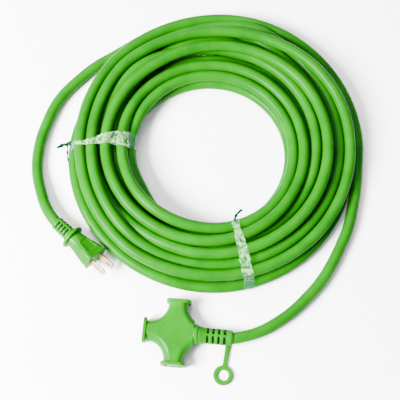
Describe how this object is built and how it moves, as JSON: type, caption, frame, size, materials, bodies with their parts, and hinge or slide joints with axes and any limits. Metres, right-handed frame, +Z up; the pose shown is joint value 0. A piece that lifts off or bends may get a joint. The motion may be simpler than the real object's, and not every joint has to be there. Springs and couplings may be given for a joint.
{
  "type": "extension cord",
  "caption": "Green mains extension cord, coiled and tied, with a moulded plug at one end and a flat cross-shaped multi-outlet tap with a hanging ring at the other.",
  "frame": {"origin": "under the middle of the tap, on the surface that it rests on", "axes": "+X from the middle of the tap along its cord-side disc and strain relief; +Y towards the outlet that faces the coil; +Z up from the resting surface"},
  "size_m": [0.3255, 0.3794, 0.0303],
  "materials": {
    "soft_moulding": "soft satin moulding",
    "relief_moulding": "soft satin moulding",
    "ring_moulding": "soft satin moulding",
    "outlet_insert": "satin hard plastic",
    "hard_insulator": "moulded",
    "busbar_brass": "rolled strip",
    "rivet_brass": "drawn",
    "contact_bronze": "rolled spring strip",
    "blade_brass": "nickelled, satin",
    "black_insulation": "extruded",
    "white_insulation": "extruded",
    "copper_strand": "bunched strand",
    "cord_sheath": "extruded, satin, fine grain",
    "tie_film": "thin clear film with a green cast"
  },
  "bodies": {
    "cord_set": {"tap_body": "soft_moulding", "outlet_face_left": "outlet_insert", "outlet_face_back": "outlet_insert", "outlet_face_front": "outlet_insert", "core_base": "hard_insulator", "core_lid": "hard_insulator", "busbar_a": "busbar_brass", "busbar_b": "busbar_brass", "contact_left_a": "contact_bronze", "contact_back_a": "contact_bronze", "contact_front_a": "contact_bronze", "contact_left_b": "contact_bronze", "contact_back_b": "contact_bronze", "contact_front_b": "contact_bronze", "contact_rivets": "rivet_brass", "tap_strain_relief": "relief_moulding", "tap_wire_black": "black_insulation", "tap_wire_white": "white_insulation", "tap_copper_black": "copper_strand", "tap_copper_white": "copper_strand", "cord_tap_tail": "cord_sheath", "cord_coil": "cord_sheath", "cord_plug_tail": "cord_sheath", "plug_body": "soft_moulding", "plug_bridge": "hard_insulator", "blade_a": "blade_brass", "blade_b": "blade_brass", "plug_strain_relief": "relief_moulding", "plug_wire_black": "black_insulation", "plug_wire_white": "white_insulation", "plug_copper_black": "copper_strand", "plug_copper_white": "copper_strand", "film_tie_left": "tie_film", "film_tie_front": "tie_film"},
    "hanging_ring": {"hanging_ring": "ring_moulding"}
  },
  "joints": [
    {"name": "hanging_ring_swivel", "type": "hinge", "parent": "cord_set", "child": "hanging_ring", "pos_m": [0.04985, 0, 0.0098], "axis": [-1, 0, 0], "continuous": true}
  ]
}
